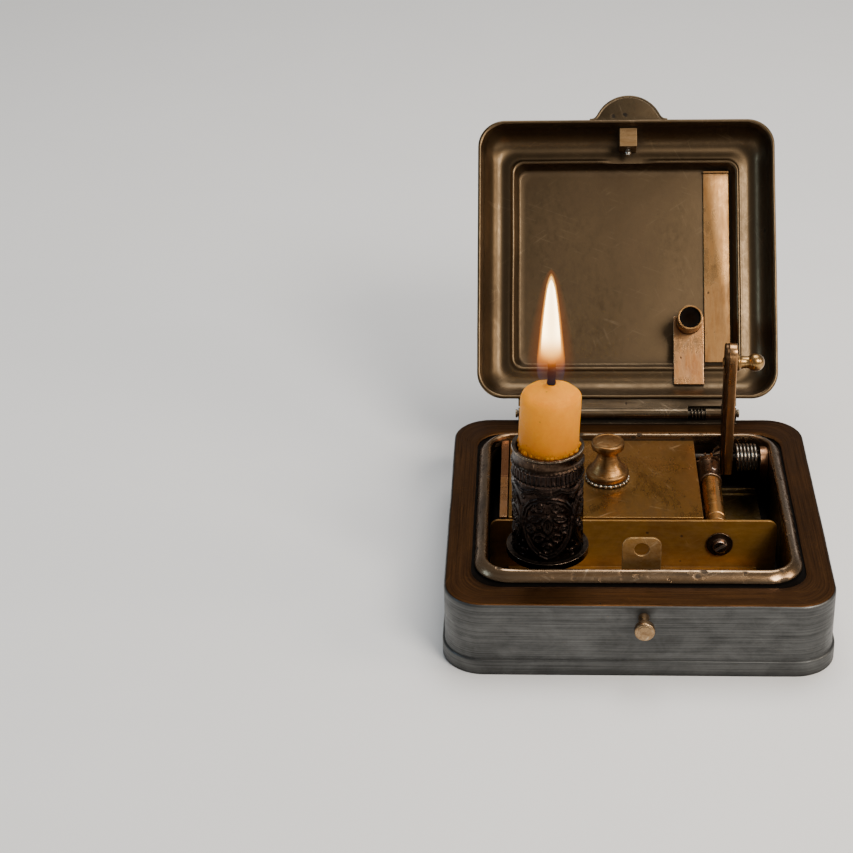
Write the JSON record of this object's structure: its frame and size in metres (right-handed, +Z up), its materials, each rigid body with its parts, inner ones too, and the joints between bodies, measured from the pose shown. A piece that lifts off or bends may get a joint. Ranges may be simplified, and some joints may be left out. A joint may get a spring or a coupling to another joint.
{
  "type": "mechanical candle box",
  "caption": "Hinged metal travel box whose opening lid swings a candle holder upright through an arm, bevel gears, cranks and a link.",
  "frame": {"origin": "centre of the base's footprint on the ground, with the lid open and the candle upright", "axes": "+X to the box's right, +Y to the back where the lid is hinged, +Z up"},
  "size_m": [0.1216, 0.1923, 0.1206],
  "materials": {
    "patinated_case": "brushed, dark brown-black patina",
    "bottom_sheet": "dull dark sheet",
    "worn_tray": "worn silvery brass, pitted",
    "golden_sheet": "mottled golden sheet",
    "cover_sheet": "scratched golden-brown sheet",
    "copper_sheet": "bright pinkish copper",
    "dark_copper": "dark copper",
    "turned_brass": "satin turned brass",
    "knob_beads": "silvery beads on a dark ring",
    "bronze_lid": "brown bronze with worn highlights",
    "relief": "coppery silver relief",
    "strip_brass": "blotched copper-brass strip",
    "hinge_steel": "worn steel",
    "bright_pin": "bright drawn steel",
    "spring_steel": "bright spring wire",
    "block_brass": "matte tan brass",
    "catch_brass": "matte golden brass",
    "button_brass": "polished brass",
    "drive_copper": "copper-orange, polished by wear",
    "gear_brass": "cut brass",
    "link_brass": "satin brass bar",
    "arm_bronze": "brown bronze bar",
    "boss_dark": "blackened",
    "holder_relief": "near-black pressed relief, bright worn edges",
    "washer_dark": "dark washer",
    "screw_steel": "slotted, worn",
    "wax": "translucent orange-yellow wax",
    "wick": "charred cord"
  },
  "bodies": {
    "base": {"base_case": "patinated_case", "bottom_plate": "bottom_sheet", "liner_tray": "worn_tray", "partition": "golden_sheet", "match_compartment": "golden_sheet", "cover_plate": "cover_sheet", "cover_clip_front": "copper_sheet", "cover_clip_rear": "dark_copper", "base_hinge_leaf": "block_brass", "hinge_pin": "bright_pin", "hinge_spring": "spring_steel", "tilt_fork": "golden_sheet", "drive_rear_bearing": "drive_copper", "drive_front_bearing": "golden_sheet", "bearing_washer": "washer_dark", "bearing_screw": "screw_steel", "lift_spring": "spring_steel", "shaft_end_bracket": "copper_sheet", "bay_floor_plate": "golden_sheet"},
    "lid": {"lid_shell": "bronze_lid", "lid_hinge_leaf": "hinge_steel", "lid_thumb_tab": "bronze_lid", "lid_emblem": "relief", "lid_strip": "strip_brass", "lid_tube": "strip_brass", "tube_bracket": "copper_sheet", "latch_block": "block_brass", "latch_pin": "bright_pin"},
    "latch": {"push_button": "button_brass", "catch_tab": "catch_brass", "button_collar": "block_brass", "button_spring": "spring_steel"},
    "candle_mount": {"tilt_shaft": "bright_pin", "candle_cup": "holder_relief", "candle_holder": "holder_relief", "candle": "wax", "wick": "wick", "candle_crank": "link_brass"},
    "link": {"link_bar": "link_brass"},
    "drive": {"drive_crank": "link_brass", "drive_tube": "drive_copper", "drive_gear": "gear_brass"},
    "arm": {"arm_gear": "gear_brass", "lift_arm": "arm_bronze", "arm_ball_pin": "turned_brass", "arm_boss": "boss_dark", "arm_shaft": "bright_pin"},
    "knob": {"cover_knob": "turned_brass", "knob_bead_ring": "knob_beads", "knob_washer": "turned_brass"}
  },
  "joints": [
    {"name": "lid_hinge", "type": "hinge", "parent": "base", "child": "lid", "pos_m": [0, 0.0575, 0.0278], "axis": [1, 0, 0], "range_deg": [0, 127]},
    {"name": "button_press", "type": "slide", "parent": "base", "child": "latch", "axis": [0, 1, 0], "range_m": [0, 0.0024], "stiffness_N_per_m": 600, "springref_m": -0.0008, "deforming": ["button_spring"]},
    {"name": "knob_turn", "type": "hinge", "parent": "base", "child": "knob", "pos_m": [-0.008, 0.0158, 0.026], "axis": [0, 0, 1], "continuous": true},
    {"name": "arm_swing", "type": "hinge", "parent": "base", "child": "arm", "pos_m": [0.033, 0.0355, 0.0229], "axis": [1, 0, 0], "range_deg": [0, 90]},
    {"name": "drive_turn", "type": "hinge", "parent": "base", "child": "drive", "pos_m": [0.0266, 0, 0.0229], "axis": [0, 1, 0], "range_deg": [0, 90]},
    {"name": "candle_tilt", "type": "hinge", "parent": "base", "child": "candle_mount", "pos_m": [-0.028, -0.0233, 0.0205], "axis": [0, 1, 0], "range_deg": [0, 90]},
    {"name": "link_swing", "type": "hinge", "parent": "drive", "child": "link", "pos_m": [0.03155, -0.0034, 0.01795], "axis": [0, 1, 0], "range_deg": [-90, 0]}
  ],
  "couplings": [
    {"joint": "arm_swing", "follows": "lid_hinge", "ratio": 0.70866},
    {"joint": "drive_turn", "follows": "lid_hinge", "ratio": 0.70866},
    {"joint": "candle_tilt", "follows": "lid_hinge", "ratio": 0.70866},
    {"joint": "link_swing", "follows": "lid_hinge", "ratio": -0.70866}
  ]
}
